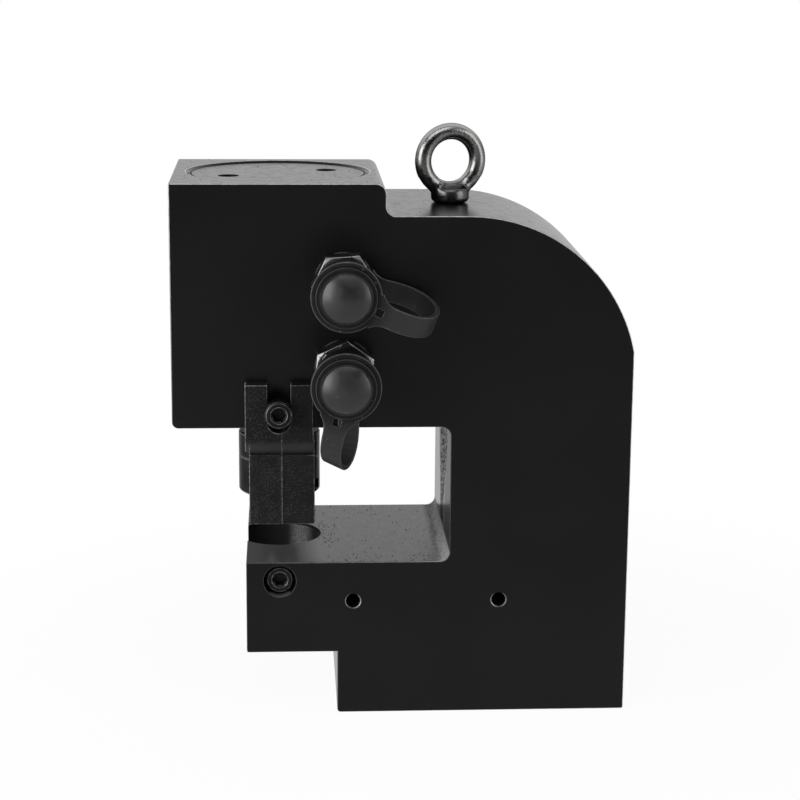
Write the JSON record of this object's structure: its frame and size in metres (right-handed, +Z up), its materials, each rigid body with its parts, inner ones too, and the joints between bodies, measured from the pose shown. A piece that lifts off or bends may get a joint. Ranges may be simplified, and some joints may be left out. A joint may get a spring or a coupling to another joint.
{
  "type": "hydraulic hole punch",
  "caption": "C-frame hydraulic hole punch: steel frame with a ram over a die pocket, a slotted stripper, capped hose couplers and a lifting eye.",
  "frame": {"origin": "centre of the foot's underside, on the bench", "axes": "+Z up along the ram's axis; +X from the punch towards the back of the throat; +Y from the couplers' face to the back face"},
  "size_m": [0.217, 0.153, 0.2802],
  "materials": {
    "blackened_steel": "machined steel, black coating, satin",
    "turned_steel": "turned, lightly oiled",
    "ground_steel": "ground and hardened",
    "cast_black": "rough casting, blackened, edges worn bright",
    "black_screw": "black oxide, oiled",
    "plated_steel": "forged and zinc plated, bright",
    "coupler_steel": "turned, dark plating",
    "spring_steel": "drawn wire",
    "brass": "turned",
    "cap_rubber": "moulded, matt",
    "seal_rubber": "moulded, oiled",
    "bearing_resin": "fabric-filled resin"
  },
  "bodies": {
    "frame": {"frame": "blackened_steel", "cylinder_lid": "blackened_steel", "lid_o_ring": "seal_rubber", "rod_seal": "seal_rubber", "rod_guide_band": "bearing_resin", "rod_wiper": "seal_rubber", "eyebolt": "plated_steel", "upper_coupler_body": "coupler_steel", "upper_coupler_retainer": "brass", "upper_coupler_spring": "spring_steel", "upper_cap_strap": "cap_rubber", "lower_coupler_body": "coupler_steel", "lower_coupler_retainer": "brass", "lower_coupler_spring": "spring_steel", "lower_cap_strap": "cap_rubber"},
    "ram": {"ram": "ground_steel", "piston_seal": "seal_rubber", "piston_wear_ring": "bearing_resin", "punch_nut": "turned_steel", "punch": "ground_steel"},
    "stripper": {"stripper": "cast_black"},
    "stripper_screw": {"stripper_screw": "black_screw"},
    "die_lock_screw": {"die_lock_screw": "black_screw"},
    "upper_dust_cap": {"upper_dust_cap": "cap_rubber"},
    "lower_dust_cap": {"lower_dust_cap": "cap_rubber"},
    "upper_poppet": {"upper_coupler_poppet": "ground_steel"},
    "lower_poppet": {"lower_coupler_poppet": "ground_steel"}
  },
  "joints": [
    {"name": "ram_slide", "type": "slide", "parent": "frame", "child": "ram", "axis": [0, 0, -1], "range_m": [-0.008, 0.012]},
    {"name": "stripper_slide", "type": "slide", "parent": "frame", "child": "stripper", "axis": [0, 0, 1], "range_m": [-0.01, 0.005]},
    {"name": "stripper_screw_advance", "type": "slide", "parent": "frame", "child": "stripper_screw", "axis": [0, -1, 0], "range_m": [0, 0.003]},
    {"name": "lock_screw_advance", "type": "slide", "parent": "frame", "child": "die_lock_screw", "axis": [0, 1, 0], "range_m": [-0.004, 0.0025]},
    {"name": "upper_cap_pull", "type": "slide", "parent": "frame", "child": "upper_dust_cap", "axis": [0, -1, 0], "range_m": [0, 0.026], "deforming": ["upper_cap_strap"]},
    {"name": "lower_cap_pull", "type": "slide", "parent": "frame", "child": "lower_dust_cap", "axis": [0, -1, 0], "range_m": [0, 0.026], "deforming": ["lower_cap_strap"]},
    {"name": "upper_poppet_slide", "type": "slide", "parent": "frame", "child": "upper_poppet", "axis": [0, 1, 0], "range_m": [0, 0.003], "stiffness_N_per_m": 1500, "springref_m": -0.004, "deforming": ["upper_coupler_spring"]},
    {"name": "lower_poppet_slide", "type": "slide", "parent": "frame", "child": "lower_poppet", "axis": [0, 1, 0], "range_m": [0, 0.003], "stiffness_N_per_m": 1500, "springref_m": -0.004, "deforming": ["lower_coupler_spring"]}
  ]
}
